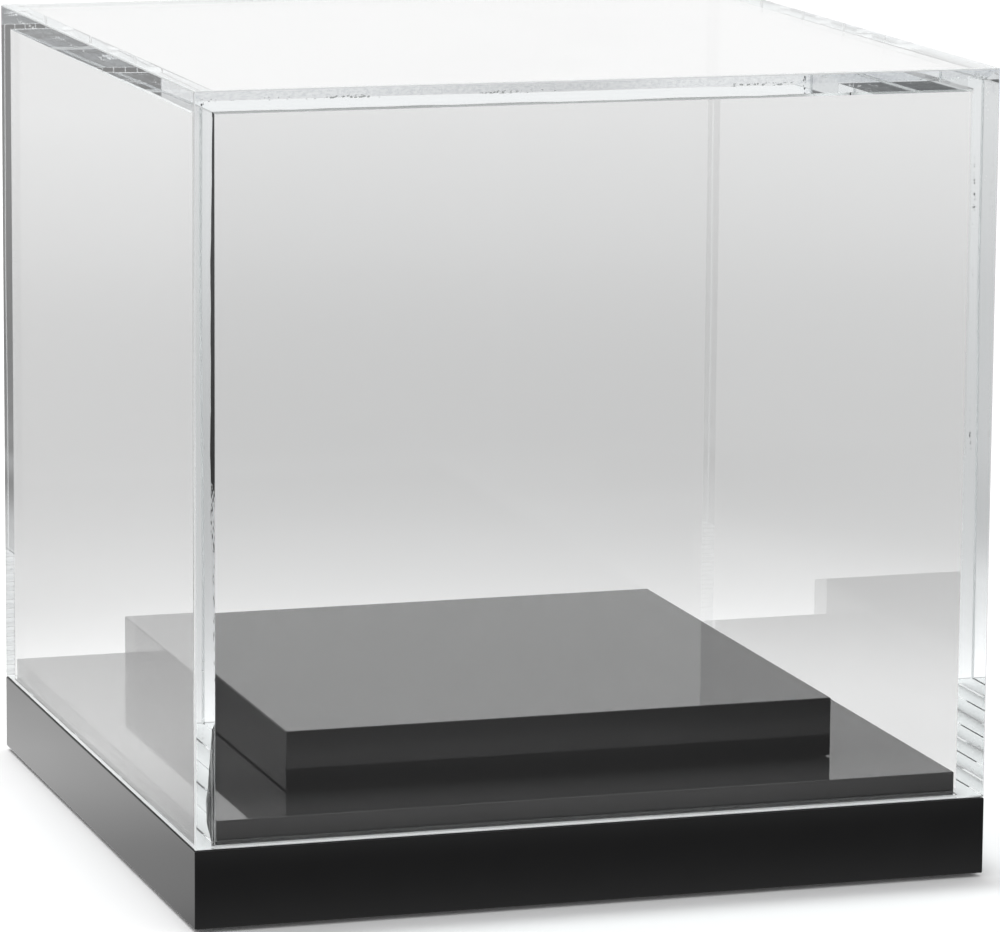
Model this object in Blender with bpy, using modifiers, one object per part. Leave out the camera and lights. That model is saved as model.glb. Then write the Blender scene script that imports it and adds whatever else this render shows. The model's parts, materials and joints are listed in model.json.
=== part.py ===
"""Acrylic display cube: a clear five-sided hood that lifts straight off a stepped black base.

Metres, +Z up. The origin is the centre of the footprint, on the surface that the feet stand on.
The front faces -Y. Each upper piece is drawn CONTACT_GAP clear of the piece that it touches.
"""

import math

import bmesh
import bpy
from mathutils import Matrix, Vector

# The cube as a whole
CUBE_SIDE = 0.200  # outside width and depth, and the height with the feet
CONTACT_GAP = 0.0003  # left between pieces that touch
SAME_PLACE = 0.000001  # points nearer than this are in the same plane

# Hood
WALL = 0.006  # sheet thickness
HOOD_EDGE = 0.0004  # polished chamfer along the hood's outer edges
CEMENT_GAP = 0.0003  # between two mitred faces, where the cement is

# Base
FOOT_RISE = 0.001  # how far the feet hold the slab off the table
SLAB_THICKNESS = 0.019
PLATE_THICKNESS = 0.006
PLATE_CLEARANCE = 0.0004  # between the locating plate and the hood's walls
PEDESTAL_SIDE = 0.140
PEDESTAL_THICKNESS = 0.015
BLOCK_EDGE = 0.0003  # eased edges of the black blocks
BLOCK_EDGE_SEGMENTS = 3

# Feet
FOOT_DIAMETER = 0.012
FOOT_EDGE = 0.0002
FOOT_EDGE_SEGMENTS = 2
FOOT_INSET = 0.016  # from the slab's sides to a foot's centre

# Countersunk socket screws, M4 x 35
SCREW_SPACING = 0.090  # centre to centre, along X and along Y
SCREW_LENGTH = 0.035  # head included
SCREW_DIAMETER = 0.004
SCREW_HEAD_DIAMETER = 0.008
SCREW_HEAD_RIM = 0.0004  # straight edge of the head, below its cone
SCREW_TIP_CHAMFER = 0.0006
SCREW_RECESS = 0.0002  # how deep the head's face lies in the slab
SOCKET_ACROSS_FLATS = 0.0025
SOCKET_DEPTH = 0.0016
COUNTERSINK_DIAMETER = 0.0086
CLEARANCE_HOLE_DIAMETER = 0.0046
TAPPED_HOLE_DIAMETER = 0.0043
TAPPED_HOLE_SPARE = 0.001  # depth beyond the screw's tip
ROUND_SIDES = 32
ROUND_MERGE = 0.00001  # how near two points of a turned solid are before they are one
SMOOTH_ANGLE = math.radians(35)
CUTTER_OVERRUN = 0.001  # how far a cutter runs out of the face that it enters

# Materials
ACRYLIC_IOR = 1.49
RUBBER_IOR = 1.52
STEEL_IOR = 2.75

# Heights, worked out from the sizes above
SLAB_BOTTOM = FOOT_RISE
SLAB_TOP = SLAB_BOTTOM + SLAB_THICKNESS
PLATE_TOP = SLAB_TOP + PLATE_THICKNESS
PEDESTAL_TOP = PLATE_TOP + PEDESTAL_THICKNESS
HOOD_BOTTOM = SLAB_TOP + CONTACT_GAP
HOOD_HEIGHT = CUBE_SIDE - HOOD_BOTTOM
PLATE_SIDE = CUBE_SIDE - 2 * (WALL + PLATE_CLEARANCE)
SCREW_BOTTOM = SLAB_BOTTOM + SCREW_RECESS

# The hood's sides: each one's outward direction, and how far its outer face is from the hood's origin
HOOD_SIDES = {
    "front": (Vector((0, -1, 0)), CUBE_SIDE / 2),
    "back": (Vector((0, 1, 0)), CUBE_SIDE / 2),
    "left": (Vector((-1, 0, 0)), CUBE_SIDE / 2),
    "right": (Vector((1, 0, 0)), CUBE_SIDE / 2),
    "top": (Vector((0, 0, 1)), HOOD_HEIGHT),
}


def clear_scene():
    for obj in list(bpy.data.objects):
        bpy.data.objects.remove(obj, do_unlink=True)


def make_collection(name, parent=None, is_cutters=False):
    collection = bpy.data.collections.new(name)
    collection.hide_render = is_cutters
    (parent or bpy.context.scene.collection).children.link(collection)
    return collection


def make_empty(name, height, collection):
    empty = bpy.data.objects.new(name, None)
    empty.location.z = height
    empty.empty_display_size = CUBE_SIDE / 4
    collection.objects.link(empty)
    return empty


def make_material(name, color, roughness, ior, metallic=0.0, transmission=0.0, alpha=1.0):
    material = bpy.data.materials.new(name)
    material.use_nodes = True
    shader = material.node_tree.nodes["Principled BSDF"]
    shader.inputs["Base Color"].default_value = (*color, 1.0)
    shader.inputs["Roughness"].default_value = roughness
    shader.inputs["Metallic"].default_value = metallic
    shader.inputs["Transmission Weight"].default_value = transmission
    shader.inputs["Alpha"].default_value = alpha
    shader.inputs["IOR"].default_value = ior
    material.diffuse_color = (*color, alpha)
    return material


def make_object(name, bm, collection, material=None, parent=None, location=(0, 0, 0)):
    """Turns the bmesh into a named object, and frees the bmesh."""
    mesh = bpy.data.meshes.new(name)
    bm.to_mesh(mesh)
    bm.free()
    obj = bpy.data.objects.new(name, mesh)
    obj.location = location
    obj.parent = parent
    collection.objects.link(obj)
    if material is not None:
        mesh.materials.append(material)
    return obj


def shade_round(obj):
    """Shades the object smooth, apart from its hard corners."""
    obj.data.polygons.foreach_set("use_smooth", [True] * len(obj.data.polygons))
    obj.data.set_sharp_from_angle(angle=SMOOTH_ANGLE)


def square_block(side, height):
    """A square box standing on its own origin."""
    bm = bmesh.new()
    size = Matrix.Diagonal((side, side, height, 1.0))
    bmesh.ops.create_cube(bm, size=1.0, matrix=Matrix.Translation((0, 0, height / 2)) @ size)
    return bm


def ease_edges(bm, edges, width, segments=1):
    bmesh.ops.bevel(
        bm, geom=edges, offset=width, offset_type="OFFSET", segments=segments, profile=0.5, affect="EDGES"
    )


def cut_away(bm, point, direction):
    """Cuts off what lies beyond the plane through this point, and closes the cut."""
    geometry = [*bm.verts, *bm.edges, *bm.faces]
    cut = bmesh.ops.bisect_plane(bm, geom=geometry, plane_co=point, plane_no=direction, clear_outer=True)
    rim = [item for item in cut["geom_cut"] if isinstance(item, bmesh.types.BMEdge)]
    bmesh.ops.edgeloop_fill(bm, edges=rim)


def sides_of_edge(edge):
    """The hood's sides whose outer planes hold this edge."""

    def holds(side):
        direction, reach = HOOD_SIDES[side]
        return all(math.isclose(vert.co.dot(direction), reach, abs_tol=SAME_PLACE) for vert in edge.verts)

    return [side for side in HOOD_SIDES if holds(side)]


def make_hood_panel(side, collection, material, parent):
    """One sheet of the hood, cut out of the hood's outer block.

    The block's outer edges are polished first. The sheet's edges are then mitred at 45 degrees
    against each neighbour, half of the cement gap short of the plane between the two.
    """
    direction, reach = HOOD_SIDES[side]
    bm = square_block(CUBE_SIDE, HOOD_HEIGHT)
    ease_edges(bm, [edge for edge in bm.edges if len(sides_of_edge(edge)) == 2], HOOD_EDGE)
    cut_away(bm, direction * (reach - WALL), -direction)
    for other_direction, other_reach in HOOD_SIDES.values():
        if abs(other_direction.dot(direction)) > 0.5:
            continue
        inner_corner = direction * (reach - WALL) + other_direction * (other_reach - WALL)
        mitre = (other_direction - direction).normalized()
        cut_away(bm, inner_corner - mitre * CEMENT_GAP / 2, mitre)
    bmesh.ops.recalc_face_normals(bm, faces=bm.faces)
    return make_object(f"hood_{side}_panel", bm, collection, material, parent)


def make_block(name, side, bottom, top, collection, material, parent):
    """One of the base's square blocks, with its edges eased."""
    bm = square_block(side, top - bottom)
    ease_edges(bm, list(bm.edges), BLOCK_EDGE, BLOCK_EDGE_SEGMENTS)
    block = make_object(name, bm, collection, material, parent, (0, 0, bottom))
    shade_round(block)
    return block


def make_foot(name, x, y, collection, material, parent):
    thickness = FOOT_RISE - CONTACT_GAP
    bm = bmesh.new()
    bmesh.ops.create_cone(
        bm,
        cap_ends=True,
        segments=ROUND_SIDES,
        radius1=FOOT_DIAMETER / 2,
        radius2=FOOT_DIAMETER / 2,
        depth=thickness,
        matrix=Matrix.Translation((0, 0, thickness / 2)),
    )
    rims = [edge for edge in bm.edges if abs(edge.verts[0].co.z - edge.verts[1].co.z) < SAME_PLACE]
    ease_edges(bm, rims, FOOT_EDGE, FOOT_EDGE_SEGMENTS)
    foot = make_object(name, bm, collection, material, parent, (x, y, 0))
    shade_round(foot)
    return foot


def turned_object(name, profile, collection, material=None, parent=None, location=(0, 0, 0)):
    """A solid turned about Z from a profile of (radius, height), which starts and ends on the axis."""
    bm = bmesh.new()
    verts = [bm.verts.new((radius, 0, height)) for radius, height in profile]
    for lower, upper in zip(verts, verts[1:]):
        bm.edges.new((lower, upper))
    obj = make_object(name, bm, collection, material, parent, location)
    turn = obj.modifiers.new("turn", "SCREW")
    turn.steps = ROUND_SIDES
    turn.render_steps = ROUND_SIDES
    turn.use_merge_vertices = True
    turn.merge_threshold = ROUND_MERGE
    turn.use_normal_calculate = True
    return obj


def cut_with(obj, cutters):
    """Takes everything in the cutters' collection out of the object."""
    cut = obj.modifiers.new(f"cut {cutters.name}", "BOOLEAN")
    cut.operation = "DIFFERENCE"
    cut.solver = "EXACT"
    cut.operand_type = "COLLECTION"
    cut.collection = cutters


def make_screw(name, x, y, sockets, collection, material, parent):
    """A countersunk screw with its head down, and the hexagonal cutter of its socket."""
    head = SCREW_HEAD_DIAMETER / 2
    shank = SCREW_DIAMETER / 2
    cone_top = SCREW_HEAD_RIM + head - shank
    profile = [
        (0, 0),
        (head, 0),
        (head, SCREW_HEAD_RIM),
        (shank, cone_top),
        (shank, SCREW_LENGTH - SCREW_TIP_CHAMFER),
        (shank - SCREW_TIP_CHAMFER, SCREW_LENGTH),
        (0, SCREW_LENGTH),
    ]
    place = (x, y, SCREW_BOTTOM)
    screw = turned_object(name, profile, collection, material, parent, place)
    bm = bmesh.new()
    corner_radius = SOCKET_ACROSS_FLATS / 2 / math.cos(math.pi / 6)
    bmesh.ops.create_cone(
        bm,
        cap_ends=True,
        segments=6,
        radius1=corner_radius,
        radius2=corner_radius,
        depth=SOCKET_DEPTH + CUTTER_OVERRUN,
        matrix=Matrix.Translation((0, 0, (SOCKET_DEPTH - CUTTER_OVERRUN) / 2)),
    )
    make_cutter(make_object(f"{name}_socket", bm, sockets, None, parent, place))
    cut_with(screw, sockets)


def make_cutter(obj):
    obj.hide_render = True
    obj.display_type = "WIRE"


def make_screw_hole(name, x, y, collection, parent):
    """The cutter of one screw's hole: countersunk and clear in the slab and plate, tapped above."""
    countersink = COUNTERSINK_DIAMETER / 2
    clear = CLEARANCE_HOLE_DIAMETER / 2
    tapped = TAPPED_HOLE_DIAMETER / 2
    rim_top = SCREW_RECESS + SCREW_HEAD_RIM
    tapped_bottom = PLATE_TOP + CONTACT_GAP / 2 - SLAB_BOTTOM
    end = SCREW_RECESS + SCREW_LENGTH + TAPPED_HOLE_SPARE
    profile = [
        (0, -CUTTER_OVERRUN),
        (countersink, -CUTTER_OVERRUN),
        (countersink, rim_top),
        (clear, rim_top + countersink - clear),
        (clear, tapped_bottom),
        (tapped, tapped_bottom),
        (tapped, end),
        (0, end),
    ]
    make_cutter(turned_object(name, profile, collection, None, parent, (x, y, SLAB_BOTTOM)))


def corners(half_spacing):
    """The four corners of a square, by name as seen from the front."""
    return {
        "front_left": (-half_spacing, -half_spacing),
        "front_right": (half_spacing, -half_spacing),
        "back_left": (-half_spacing, half_spacing),
        "back_right": (half_spacing, half_spacing),
    }


def main():
    clear_scene()
    parts = make_collection("acrylic_display_cube")
    cutters = make_collection("cutters", is_cutters=True)
    holes = make_collection("screw_holes", cutters, is_cutters=True)

    clear_acrylic = make_material(
        "clear_acrylic", (0.93, 0.95, 0.955), 0.02, ACRYLIC_IOR, transmission=1.0, alpha=0.25
    )
    black_acrylic = make_material("black_acrylic", (0.012, 0.012, 0.013), 0.05, ACRYLIC_IOR)
    rubber = make_material("foot_rubber", (0.03, 0.03, 0.03), 0.8, RUBBER_IOR)
    steel = make_material("screw_steel", (0.42, 0.42, 0.43), 0.3, STEEL_IOR, metallic=1.0)

    hood = make_empty("hood", HOOD_BOTTOM, parts)
    base = make_empty("base", 0, parts)

    for side in HOOD_SIDES:
        make_hood_panel(side, parts, clear_acrylic, hood)

    blocks = [
        ("base_slab", CUBE_SIDE, SLAB_BOTTOM, SLAB_TOP),
        ("locating_plate", PLATE_SIDE, SLAB_TOP + CONTACT_GAP, PLATE_TOP),
        ("pedestal_block", PEDESTAL_SIDE, PLATE_TOP + CONTACT_GAP, PEDESTAL_TOP),
    ]
    for corner, (x, y) in corners(SCREW_SPACING / 2).items():
        make_screw_hole(f"{corner}_hole", x, y, holes, base)
        sockets = make_collection(f"{corner}_socket", cutters, is_cutters=True)
        make_screw(f"{corner}_screw", x, y, sockets, parts, steel, base)
    for name, side, bottom, top in blocks:
        cut_with(make_block(name, side, bottom, top, parts, black_acrylic, base), holes)
    for corner, (x, y) in corners(CUBE_SIDE / 2 - FOOT_INSET).items():
        make_foot(f"{corner}_foot", x, y, parts, rubber, base)


main()
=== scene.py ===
"""Looks of the acrylic display cube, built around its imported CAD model. Metres, +Z up.

The base's blocks, screws and feet are the CAD nodes with finished materials. The hood's sheets are
redrawn with close cemented mitres, which the CAD leaves open, and with what shows in the cement: a dry
strip along the inner corners, small voids, and a grey streak low in the front left corner.
"""

import json
import math

import bmesh
import bpy
from mathutils import Matrix, Vector


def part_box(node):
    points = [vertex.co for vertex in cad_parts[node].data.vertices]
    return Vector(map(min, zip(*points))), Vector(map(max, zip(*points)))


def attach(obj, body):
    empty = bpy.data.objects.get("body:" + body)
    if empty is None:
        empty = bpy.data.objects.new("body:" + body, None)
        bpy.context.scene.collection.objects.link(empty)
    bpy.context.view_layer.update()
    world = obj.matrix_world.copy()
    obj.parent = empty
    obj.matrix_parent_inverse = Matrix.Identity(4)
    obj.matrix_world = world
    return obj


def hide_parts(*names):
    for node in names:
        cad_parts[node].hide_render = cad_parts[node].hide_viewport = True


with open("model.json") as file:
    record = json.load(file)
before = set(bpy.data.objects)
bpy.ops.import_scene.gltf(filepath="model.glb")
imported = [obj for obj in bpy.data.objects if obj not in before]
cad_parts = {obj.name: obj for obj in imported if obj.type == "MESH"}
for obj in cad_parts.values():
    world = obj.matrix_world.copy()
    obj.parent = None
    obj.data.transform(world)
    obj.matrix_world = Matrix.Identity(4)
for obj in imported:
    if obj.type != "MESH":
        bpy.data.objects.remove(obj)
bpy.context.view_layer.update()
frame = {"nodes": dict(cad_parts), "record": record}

SAME_PLACE = 1e-6  # metres within which two places count as one
WHITE = (1.0, 1.0, 1.0, 1.0)

# Acrylic
ACRYLIC_IOR = 1.49

# Hood: the sheets' own sizes come from the CAD nodes
HOOD_EDGE = 0.0004  # scraped chamfer along the outer edges
HOOD_EDGE_SEGMENTS = 2
SEAM_GAP = 0.00002  # between the cemented faces
BOTTOM_EDGE = 0.0003  # broken edge along the open bottom
LONG_EDGE = 4  # in wall thicknesses: a longer edge runs along a sheet, and not across it

# Cement, measured from the inner corner of a mitre. A stop is a height, and what holds at that height.
DRY_SEAM = ((0.0, 0.0005), (0.08, 0.0005), (0.1, 0.0011), (0.16, 0.001), (0.2, 0.0004))  # dry strip's width
DRY_SOUND = ((0.0, 0.35), (0.085, 0.42), (0.105, 0.5), (0.115, 1.0), (0.2, 1.0))  # how unbroken it is
DRY_TOP = 0.0006  # width of the dry strip in the mitres round the top
SHARE_AT_BACK = 0.1  # what a width at the back is of the width at the front
DRY_AT_RIGHT = 0.45  # the same for the dry strip, of the right against the left
# Width of the grey streak, which only the left side has
GREY_STREAK = (
    (0.0, 0.001), (0.0215, 0.0011), (0.027, 0.0023), (0.034, 0.002), (0.046, 0.0011), (0.049, 0.0008),
    (0.0495, 0.0), (0.2, 0.0),
)
UNEVEN = (0.85, 1.3)  # least and most that every width is multiplied by
MIDDLE = (-0.05, 0.05)  # where one side's share gives way to the other's
VOID_DEPTH = 0.0035
VOID_SPREAD = 0.0004
VOIDS_PER_METRE = 1100.0
VOID_SIZE = 0.4  # radius of the largest, in spacings
VOIDS_AT_TOP = 0.09  # added round the top to the noise that makes patches of voids
MOTTLE_DEPTH = (0.0025, 0.0035)  # the mitres round the top are mottled from here outwards

# Camera, as the object is seen from the front left and a little above
CAMERA_PLACE = Vector((-0.4386, -1.4027, 0.3584))
CAMERA_AZIMUTH = math.radians(-17.6)
CAMERA_ELEVATION = math.radians(10.35)
CAMERA_ROLL = math.radians(0.435)
CAMERA_LENS_MM = 211.5
CAMERA_SENSOR_MM = 36.0
CAMERA_CLIP_START = 0.05

# Studio
FLOOR_RADIUS = 8.0
FLOOR_SEGMENTS = 96
# Painted floor light, seen through the hood and in reflections, by metres from the object: a painted pool of
# light, brightest just round the object
FLOOR_RING = (
    (0.0, 1.12), (0.19, 1.12), (0.27, 0.9), (0.4, 0.73), (0.6, 0.675), (1.0, 0.77), (1.5, 0.9), (8.0, 0.96),
)
# In reflections it is also multiplied by these, along Y and towards the right: painted shade that darkens
# the floor in front, with a painted contact shadow close in front of the base
FLOOR_FRONT = (
    (-1.4, 0.03), (-0.6, 0.14), (-0.34, 0.22), (-0.275, 0.34), (-0.25, 0.26), (-0.23, 0.24), (-0.205, 0.5),
    (-0.155, 0.15), (-0.08, 0.48), (0.0, 0.67), (0.1, 1.12), (0.3, 1.0),
)
FLOOR_ACROSS = ((-0.6, 0.9), (-0.3, 0.95), (-0.18, 0.82), (-0.12, 1.0), (0.15, 1.0), (0.4, 0.05))
RIGHTWARDS = Vector((0.91, -0.41, 0.0))
FLOOR_FADE = (1.5, 5.0)  # metres from the object over which the floor melts into the surround
# Surround brightness in reflections, along the direction's Y, X less Z, and Z
WORLD_FRONT = ((-0.3, 0.05), (0.3, 0.35), (0.85, 1.0))
WORLD_SIDE = ((-1.1, 0.2), (-0.53, 0.08), (-0.42, 0.52), (-0.05, 1.0), (0.35, 1.0), (0.75, 0.05))
WORLD_ABOVE = ((0.16, 0.0), (0.55, 0.8))
WORLD_PALE = 0.92
SOFTBOX_PLACE = Vector((-0.5, 1.3, 2.4))
SOFTBOX_AIM = Vector((0.0, 0.1, 0.0))
SOFTBOX_SIZE = (1.6, 1.2)
SOFTBOX_WATTS = 45
MAX_BOUNCES = 48  # light runs far along inside a sheet of acrylic

HOOD = "hood"
SIDES = {
    "front": Vector((0, -1, 0)),
    "back": Vector((0, 1, 0)),
    "left": Vector((-1, 0, 0)),
    "right": Vector((1, 0, 0)),
    "top": Vector((0, 0, 1)),
}


# Nodes


def node(tree, kind, inputs=None, **settings):
    """Adds a shader node, with its settings by name and its inputs' values or links by socket."""
    made = tree.nodes.new(f"ShaderNode{kind}")
    for name, value in settings.items():
        setattr(made, name, value)
    for socket, value in (inputs or {}).items():
        if isinstance(value, bpy.types.NodeSocket):
            tree.links.new(value, made.inputs[socket])
        else:
            made.inputs[socket].default_value = value
    return made


def empty_tree(owner):
    """The node tree of a material or a world, with nothing in it."""
    owner.use_nodes = True
    owner.node_tree.nodes.clear()
    return owner.node_tree


def own_place(tree):
    """Where a point is, in the object's own metres."""
    return node(tree, "TexCoord").outputs["Object"]


def along_axis(tree, vector, axis):
    return node(tree, "SeparateXYZ", {"Vector": vector}).outputs[axis]


def calculate(tree, operation, first, second):
    return node(tree, "Math", {0: first, 1: second}, operation=operation).outputs[0]


def times(tree, first, second):
    return calculate(tree, "MULTIPLY", first, second)


def ramp(tree, value, from_range, to_range):
    inputs = {
        "Value": value,
        "From Min": from_range[0],
        "From Max": from_range[1],
        "To Min": to_range[0],
        "To Max": to_range[1],
    }
    return node(tree, "MapRange", inputs).outputs["Result"]


def profile(tree, value, stops):
    """A smooth curve through these (value, result) stops."""
    first, last = stops[0][0], stops[-1][0]
    curve = node(tree, "ValToRGB", {"Fac": ramp(tree, value, (first, last), (0.0, 1.0))})
    curve.color_ramp.interpolation = "CARDINAL"
    elements = curve.color_ramp.elements
    while len(elements) < len(stops):
        elements.new(0.5)
    highest = max(result for _, result in stops)
    for element, (at, result) in zip(elements, stops):
        element.position = (at - first) / (last - first)
        element.color = (*[result / highest] * 3, 1.0)
    return times(tree, curve.outputs["Color"], highest)


def noise(tree, scale, detail=2.0, roughness=0.5, stretch=(1, 1, 1)):
    """A noise in the object's own metres. The scale is features a metre, more or less."""
    spread = node(tree, "Mapping", {"Vector": own_place(tree), "Scale": stretch})
    inputs = {"Vector": spread.outputs["Vector"], "Scale": scale, "Detail": detail, "Roughness": roughness}
    return node(tree, "TexNoise", inputs).outputs["Fac"]


def blend_colors(tree, factor, first, second):
    mix = node(tree, "Mix", {"Factor": factor}, data_type="RGBA")
    colors = [socket for socket in mix.inputs if socket.type == "RGBA"]
    for socket, color in zip(colors, (first, second)):
        socket.default_value = (*color, 1.0)
    return next(socket for socket in mix.outputs if socket.type == "RGBA")


def bump(tree, height, strength, distance):
    inputs = {"Height": height, "Strength": strength, "Distance": distance}
    return node(tree, "Bump", inputs).outputs["Normal"]


def principled(tree, inputs):
    return node(tree, "BsdfPrincipled", inputs).outputs["BSDF"]


def see_through(tree, color):
    return node(tree, "BsdfTransparent", {"Color": color}).outputs["BSDF"]


def glow(tree, strength):
    return node(tree, "Emission", {"Color": WHITE, "Strength": strength}).outputs["Emission"]


def choose(tree, factor, off, on):
    """One shader where the factor is 0 and the other where it is 1."""
    return node(tree, "MixShader", {0: factor, 1: off, 2: on}).outputs["Shader"]


def show(tree, shader):
    node(tree, "OutputMaterial", {"Surface": shader})


# Materials


def lets_light_in(tree, shader):
    """Mixes in a clear shader for light on its way through, so that lamps reach inside the hood."""
    path = node(tree, "LightPath").outputs
    through = calculate(tree, "MAXIMUM", path["Is Shadow Ray"], path["Is Diffuse Ray"])
    return choose(tree, through, shader, see_through(tree, (0.96, 0.97, 0.97, 1.0)))


def make_clear_acrylic():
    """Polished cast sheet: nearly colourless, very slightly wavy, with faint wiping haze."""
    material = bpy.data.materials.new("clear_acrylic")
    tree = empty_tree(material)
    wiping = noise(tree, scale=38, detail=4, roughness=0.6, stretch=(1, 1, 0.35))
    inputs = {
        "Base Color": blend_colors(tree, noise(tree, scale=6), (0.991, 0.994, 0.994), (0.995, 0.997, 0.997)),
        "Roughness": ramp(tree, wiping, (0.55, 0.8), (0.0, 0.012)),
        "IOR": ACRYLIC_IOR,
        "Transmission Weight": 1.0,
        "Normal": bump(tree, noise(tree, scale=9, detail=1), strength=0.05, distance=0.002),
    }
    show(tree, lets_light_in(tree, principled(tree, inputs)))
    return material


def depth_in_sheet(tree, wall_inside):
    """How far a point lies outside the hood's inner faces."""
    unsigned = node(tree, "VectorMath", {0: own_place(tree)}, operation="ABSOLUTE").outputs["Vector"]
    beyond = node(tree, "VectorMath", {0: unsigned, 1: wall_inside}, operation="SUBTRACT").outputs["Vector"]
    across = calculate(tree, "MAXIMUM", along_axis(tree, beyond, "X"), along_axis(tree, beyond, "Y"))
    return calculate(tree, "MAXIMUM", across, along_axis(tree, beyond, "Z"))


def find_dry_strip(tree, depth, height, at_top, forward, leftward, uneven):
    """1 where the cement stops short of the inner corner. Low down, the strip is broken into flecks."""
    share = times(tree, forward, ramp(tree, leftward, (0.0, 1.0), (DRY_AT_RIGHT, 1.0)))
    upright_width = times(tree, profile(tree, height, DRY_SEAM), share)
    top_width = ramp(tree, forward, (0.0, 1.0), (0.0, DRY_TOP))
    width = node(tree, "Mix", {"Factor": at_top, "A": upright_width, "B": top_width}).outputs["Result"]
    strip = calculate(tree, "LESS_THAN", depth, times(tree, width, uneven))
    flecks = noise(tree, scale=2200, detail=2, roughness=0.6, stretch=(1, 1, 0.35))
    unbroken = calculate(tree, "LESS_THAN", flecks, profile(tree, height, DRY_SOUND))
    return times(tree, strip, calculate(tree, "MAXIMUM", at_top, unbroken))


def find_voids(tree, depth, at_top):
    """1 in the small voids, which come in strings along the middle of the cement."""
    inputs = {"Vector": own_place(tree), "Scale": VOIDS_PER_METRE, "Randomness": 1.0}
    from_centre = node(tree, "TexVoronoi", inputs).outputs["Distance"]
    patches = calculate(tree, "ADD", noise(tree, scale=45, detail=2), times(tree, at_top, VOIDS_AT_TOP))
    size = ramp(tree, patches, (0.56, 0.7), (0.0, VOID_SIZE))
    string = node(tree, "Math", {0: depth, 1: VOID_DEPTH, 2: VOID_SPREAD}, operation="COMPARE").outputs[0]
    return times(tree, calculate(tree, "LESS_THAN", from_centre, size), string)


def make_cement(wall_inside):
    """The cemented face of a mitre. The cement bends light as the sheet does, so it only dims it. A spot
    without cement is an ordinary polished face, and mirrors what lies along the inside of the sheet."""
    material = bpy.data.materials.new("cemented_face")
    tree = empty_tree(material)
    place = own_place(tree)
    height = along_axis(tree, place, "Z")
    depth = depth_in_sheet(tree, wall_inside)
    at_top = calculate(tree, "GREATER_THAN", height, wall_inside.z - DRY_TOP)
    forward = ramp(tree, along_axis(tree, place, "Y"), MIDDLE, (1.0, SHARE_AT_BACK))
    leftward = ramp(tree, along_axis(tree, place, "X"), MIDDLE, (1.0, 0.0))
    uneven = ramp(tree, noise(tree, scale=60, detail=3), (0.3, 0.75), UNEVEN)

    mottled = times(tree, at_top, ramp(tree, depth, MOTTLE_DEPTH, (0.0, 1.0)))
    mottle = times(tree, noise(tree, scale=900, detail=4, roughness=0.7), mottled)
    mottle = ramp(tree, mottle, (0.42, 0.62), (0.0, 1.0))
    filled = see_through(tree, blend_colors(tree, mottle, (0.986, 0.991, 0.993), (0.92, 0.925, 0.935)))

    dry_strip = find_dry_strip(tree, depth, height, at_top, forward, leftward, uneven)
    uncemented = calculate(tree, "MAXIMUM", dry_strip, find_voids(tree, depth, at_top))
    bare = node(tree, "BsdfGlass", {"Color": WHITE, "Roughness": 0.0, "IOR": ACRYLIC_IOR}).outputs["BSDF"]

    streak_width = times(tree, profile(tree, height, GREY_STREAK), times(tree, forward, leftward))
    streaked = calculate(tree, "LESS_THAN", depth, times(tree, streak_width, uneven))
    lines = ramp(tree, noise(tree, scale=1400, stretch=(1, 1, 0.03)), (0.35, 0.65), (0.0, 1.0))
    grey = see_through(tree, blend_colors(tree, lines, (0.2, 0.2, 0.2), (0.75, 0.75, 0.75)))

    show(tree, choose(tree, streaked, choose(tree, uncemented, filled, bare), grey))
    return material


def make_satin_acrylic(name, transmission):
    """A cut or scraped edge that isn't polished, and so scatters the light that reaches it."""
    material = bpy.data.materials.new(name)
    tree = empty_tree(material)
    lines = noise(tree, scale=900, detail=2, roughness=0.6, stretch=(1, 1, 0.1))
    inputs = {
        "Base Color": blend_colors(tree, lines, (0.84, 0.86, 0.86), (0.95, 0.96, 0.96)),
        "Roughness": ramp(tree, lines, (0.3, 0.7), (0.35, 0.6)),
        "IOR": ACRYLIC_IOR,
        "Transmission Weight": transmission,
        "Normal": bump(tree, lines, strength=0.3, distance=0.0001),
    }
    show(tree, principled(tree, inputs))
    return material


def make_black_acrylic():
    """Gloss black sheet: faint cloudy wiping marks in the gloss, and a surface that isn't quite flat."""
    material = bpy.data.materials.new("black_acrylic")
    tree = empty_tree(material)
    tone = noise(tree, scale=120, detail=3)
    marks = noise(tree, scale=45, detail=5, roughness=0.62, stretch=(1, 1, 0.5))
    inputs = {
        "Base Color": blend_colors(tree, tone, (0.0045, 0.0045, 0.0047), (0.0065, 0.0065, 0.0068)),
        "Roughness": ramp(tree, marks, (0.4, 0.75), (0.035, 0.075)),
        "IOR": ACRYLIC_IOR,
        "Normal": bump(tree, noise(tree, scale=16, detail=1), strength=0.06, distance=0.0015),
    }
    show(tree, principled(tree, inputs))
    return material


def make_rubber():
    """Matt black foot rubber with a fine grain."""
    material = bpy.data.materials.new("foot_rubber")
    tree = empty_tree(material)
    grain = noise(tree, scale=2600, detail=3, roughness=0.6)
    inputs = {
        "Base Color": blend_colors(tree, grain, (0.018, 0.018, 0.018), (0.04, 0.04, 0.04)),
        "Roughness": ramp(tree, grain, (0.3, 0.7), (0.7, 0.9)),
        "Normal": bump(tree, grain, strength=0.4, distance=0.00008),
    }
    show(tree, principled(tree, inputs))
    return material


def make_screw_steel():
    """Plain stainless steel with fine turning marks."""
    material = bpy.data.materials.new("screw_steel")
    tree = empty_tree(material)
    turning = noise(tree, scale=1500, detail=3, roughness=0.6, stretch=(1, 1, 6))
    inputs = {
        "Base Color": blend_colors(tree, turning, (0.42, 0.42, 0.43), (0.58, 0.58, 0.59)),
        "Metallic": 1.0,
        "Roughness": ramp(tree, turning, (0.3, 0.7), (0.2, 0.38)),
        "Normal": bump(tree, turning, strength=0.25, distance=0.00005),
    }
    show(tree, principled(tree, inputs))
    return material


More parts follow.
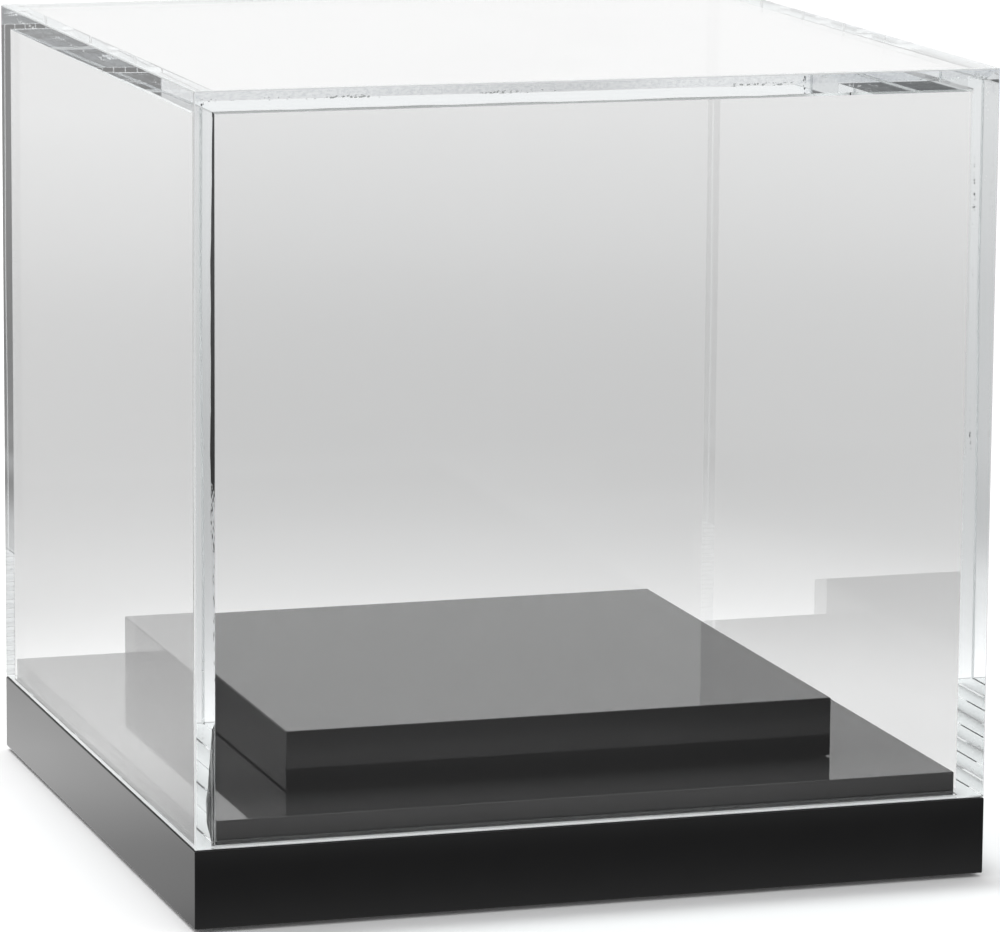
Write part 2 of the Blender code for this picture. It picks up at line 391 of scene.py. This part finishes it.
def seen_directly(tree):
    """1 for what is seen with nothing in between, and 0 in a reflection or through the hood."""
    return node(tree, "LightPath").outputs["Is Camera Ray"]


def not_mirrored(tree):
    """1 for what is seen directly or through the hood, and as soft light, and 0 in a reflection."""
    path = node(tree, "LightPath").outputs
    unreflected = calculate(tree, "LESS_THAN", path["Glossy Depth"], 0.5)
    soft = calculate(tree, "GREATER_THAN", path["Diffuse Depth"], 0.5)
    return calculate(tree, "MAXIMUM", unreflected, soft)


def make_floor_material():
    """A plain pale floor. Behind the hood and in reflections it glows with painted light, as of a product
    table lit
    from behind: a painted pool of light just round the object, and painted shade in front of it."""
    material = bpy.data.materials.new("studio_floor")
    tree = empty_tree(material)
    place = own_place(tree)
    distance = node(tree, "VectorMath", {0: place}, operation="LENGTH").outputs["Value"]
    to_right = node(tree, "VectorMath", {0: place, 1: RIGHTWARDS}, operation="DOT_PRODUCT").outputs["Value"]
    front = profile(tree, along_axis(tree, place, "Y"), FLOOR_FRONT)
    shade = times(tree, front, profile(tree, to_right, FLOOR_ACROSS))
    ring = profile(tree, distance, FLOOR_RING)
    # This emitted glow is painted floor light: a painted pool of light round the object, and in reflections
    # painted shade in front of it
    lit = choose(tree, not_mirrored(tree), glow(tree, times(tree, ring, shade)), glow(tree, ring))

    tone = blend_colors(tree, noise(tree, scale=3, detail=3), (0.86, 0.86, 0.865), (0.89, 0.89, 0.892))
    paper = principled(tree, {"Base Color": tone, "Roughness": 0.9, "Specular IOR Level": 0.1})
    plain = choose(tree, ramp(tree, distance, FLOOR_FADE, (0.0, 1.0)), paper, glow(tree, WORLD_PALE))
    show(tree, choose(tree, seen_directly(tree), lit, plain))
    return material


# Shapes


def link_object(name, bm, materials):
    """Turns the bmesh into a named object with these materials in its slots, and frees the bmesh."""
    mesh = bpy.data.meshes.new(name)
    bm.to_mesh(mesh)
    bm.free()
    for material in materials:
        mesh.materials.append(material)
    obj = bpy.data.objects.new(name, mesh)
    bpy.context.scene.collection.objects.link(obj)
    return obj


def box_of(nodes):
    """The box round these CAD nodes."""
    boxes = [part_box(name) for name in nodes]
    low = Vector(min(box[0][axis] for box in boxes) for axis in range(3))
    high = Vector(max(box[1][axis] for box in boxes) for axis in range(3))
    return low, high


def block_bmesh(low, high):
    bm = bmesh.new()
    size = Matrix.Diagonal((*(high - low), 1.0))
    bmesh.ops.create_cube(bm, size=1.0, matrix=Matrix.Translation((low + high) / 2) @ size)
    return bm


def reach_of(side, low, high):
    """How far the outer face of this side lies from the origin, along the side's direction."""
    direction = SIDES[side]
    return max(low.dot(direction), high.dot(direction))


def cut_away(bm, point, direction):
    """Cuts off what lies beyond the plane, closes the cut, and returns the new face."""
    geometry = [*bm.verts, *bm.edges, *bm.faces]
    cut = bmesh.ops.bisect_plane(bm, geom=geometry, plane_co=point, plane_no=direction, clear_outer=True)
    rim = [item for item in cut["geom_cut"] if isinstance(item, bmesh.types.BMEdge)]
    return bmesh.ops.edgeloop_fill(bm, edges=rim)["faces"]


def edges_on_two_sides(bm, low, high):
    def on(edge, side):
        reach = reach_of(side, low, high)
        return all(math.isclose(vert.co.dot(SIDES[side]), reach, abs_tol=SAME_PLACE) for vert in edge.verts)

    return [edge for edge in bm.edges if sum(on(edge, side) for side in SIDES) == 2]


def chamfer_outside(bm, low, high, finish):
    """Chamfers the hood's outer edges, and gives the chamfers the finish of this material slot."""
    edges = edges_on_two_sides(bm, low, high)
    bevel = bmesh.ops.bevel(
        bm, geom=edges, offset=HOOD_EDGE, segments=HOOD_EDGE_SEGMENTS, profile=0.5, affect="EDGES"
    )
    for face in bevel["faces"]:
        face.material_index = finish


def mitre_ends(bm, side, low, high, wall, finish):
    """Cuts the sheet off where it meets its neighbours, and gives the cuts this slot's finish."""
    direction, reach = SIDES[side], reach_of(side, low, high)
    for other, other_direction in SIDES.items():
        parallel = abs(other_direction.dot(direction)) > 0.5
        if parallel:
            continue
        inner_corner = direction * (reach - wall) + other_direction * (reach_of(other, low, high) - wall)
        outwards = (other_direction - direction).normalized()
        for face in cut_away(bm, inner_corner - outwards * SEAM_GAP / 2, outwards):
            face.material_index = finish


def ease_bottom(bm, bottom, wall, finish):
    """Breaks the long edges of the open bottom, and gives its faces this slot's finish."""

    def at_bottom(edge):
        return all(abs(vert.co.z - bottom) < SAME_PLACE for vert in edge.verts)

    along = [edge for edge in bm.edges if at_bottom(edge) and edge.calc_length() > LONG_EDGE * wall]
    bmesh.ops.bevel(bm, geom=along, offset=BOTTOM_EDGE, segments=1, affect="EDGES")
    for face in bm.faces:
        faces_down = face.normal.z < -0.9
        if faces_down:
            face.material_index = finish


def make_hood_panel(side, low, high, wall, materials):
    """One sheet of the hood, with scraped outer edges, cemented mitres and a satin bottom edge."""
    cemented, cut, scraped = 1, 2, 3
    direction = SIDES[side]
    bm = block_bmesh(low, high)
    chamfer_outside(bm, low, high, scraped)
    cut_away(bm, direction * (reach_of(side, low, high) - wall), -direction)
    mitre_ends(bm, side, low, high, wall, cemented)
    bmesh.ops.recalc_face_normals(bm, faces=bm.faces)
    if side != "top":
        ease_bottom(bm, low.z, wall, cut)
    panel = link_object(f"hood_{side}_sheet", bm, materials)
    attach(panel, HOOD)
    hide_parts(f"hood_{side}_panel")


def make_hood():
    low, high = box_of([f"hood_{side}_panel" for side in SIDES])
    front_low, front_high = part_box("hood_front_panel")
    wall = front_high.y - front_low.y
    wall_inside = high - Vector((wall, wall, wall))
    materials = [
        make_clear_acrylic(),
        make_cement(wall_inside),
        make_satin_acrylic("cut_edge", transmission=0.2),
        make_satin_acrylic("scraped_edge", transmission=0.5),
    ]
    for side in SIDES:
        make_hood_panel(side, low, high, wall, materials)


def finish_cad_nodes():
    """Gives the CAD nodes that stay in sight their finished materials."""
    finishes = {
        "black_acrylic": make_black_acrylic(),
        "foot_rubber": make_rubber(),
        "screw_steel": make_screw_steel(),
    }
    for part in frame["record"]["subparts"]:
        finish = finishes.get(part["material_slot"])
        if finish is None:
            continue
        mesh = frame["nodes"][part["node"]].data
        mesh.materials.clear()
        mesh.materials.append(finish)


# Studio


def make_floor():
    bm = bmesh.new()
    bmesh.ops.create_circle(bm, cap_ends=True, segments=FLOOR_SEGMENTS, radius=FLOOR_RADIUS)
    floor = link_object("studio_floor", bm, [make_floor_material()])


def make_world():
    """A soft surround. In reflections it is bright behind the object, and dark in front and to the sides."""
    world = bpy.data.worlds.new("soft_studio")
    bpy.context.scene.world = world
    tree = empty_tree(world)
    direction = node(tree, "TexCoord").outputs["Generated"]
    axes = node(tree, "SeparateXYZ", {"Vector": direction}).outputs
    front = profile(tree, axes["Y"], WORLD_FRONT)
    side = profile(tree, calculate(tree, "SUBTRACT", axes["X"], axes["Z"]), WORLD_SIDE)
    above = profile(tree, axes["Z"], WORLD_ABOVE)
    surround = calculate(tree, "MAXIMUM", times(tree, front, side), above)
    lit = node(tree, "Background", {"Color": WHITE, "Strength": surround}).outputs["Background"]
    pale = node(tree, "Background", {"Color": WHITE, "Strength": WORLD_PALE}).outputs["Background"]
    node(tree, "OutputWorld", {"Surface": choose(tree, not_mirrored(tree), lit, pale)})


def make_softbox():
    """The one lamp. It gives its light without showing in the sheets as a bright square."""
    light = bpy.data.lights.new("key_softbox", "AREA")
    light.shape = "RECTANGLE"
    light.size, light.size_y = SOFTBOX_SIZE
    light.energy = SOFTBOX_WATTS
    softbox = bpy.data.objects.new("key_softbox", light)
    softbox.location = SOFTBOX_PLACE
    softbox.rotation_euler = (SOFTBOX_AIM - SOFTBOX_PLACE).to_track_quat("-Z", "Y").to_euler()
    softbox.visible_glossy = False
    softbox.visible_transmission = False
    bpy.context.scene.collection.objects.link(softbox)


def make_camera():
    data = bpy.data.cameras.new("camera")
    data.sensor_width = CAMERA_SENSOR_MM
    data.lens = CAMERA_LENS_MM
    data.clip_start = CAMERA_CLIP_START
    camera = bpy.data.objects.new("camera", data)
    flat = math.cos(CAMERA_ELEVATION)
    to_side = math.sin(CAMERA_AZIMUTH) * flat
    to_front = -math.cos(CAMERA_AZIMUTH) * flat
    back = Vector((to_side, to_front, math.sin(CAMERA_ELEVATION)))
    level = (-back).to_track_quat("-Z", "Y")
    camera.rotation_mode = "QUATERNION"
    camera.rotation_quaternion = level @ Matrix.Rotation(CAMERA_ROLL, 3, "Z").to_quaternion()
    camera.location = CAMERA_PLACE
    bpy.context.scene.collection.objects.link(camera)
    bpy.context.scene.camera = camera


make_camera()
make_floor()
make_world()
make_softbox()
finish_cad_nodes()
make_hood()

bpy.context.scene.view_settings.view_transform = "Standard"
for bounces in ("max_bounces", "glossy_bounces", "transmission_bounces", "transparent_max_bounces"):
    setattr(bpy.context.scene.cycles, bounces, MAX_BOUNCES)
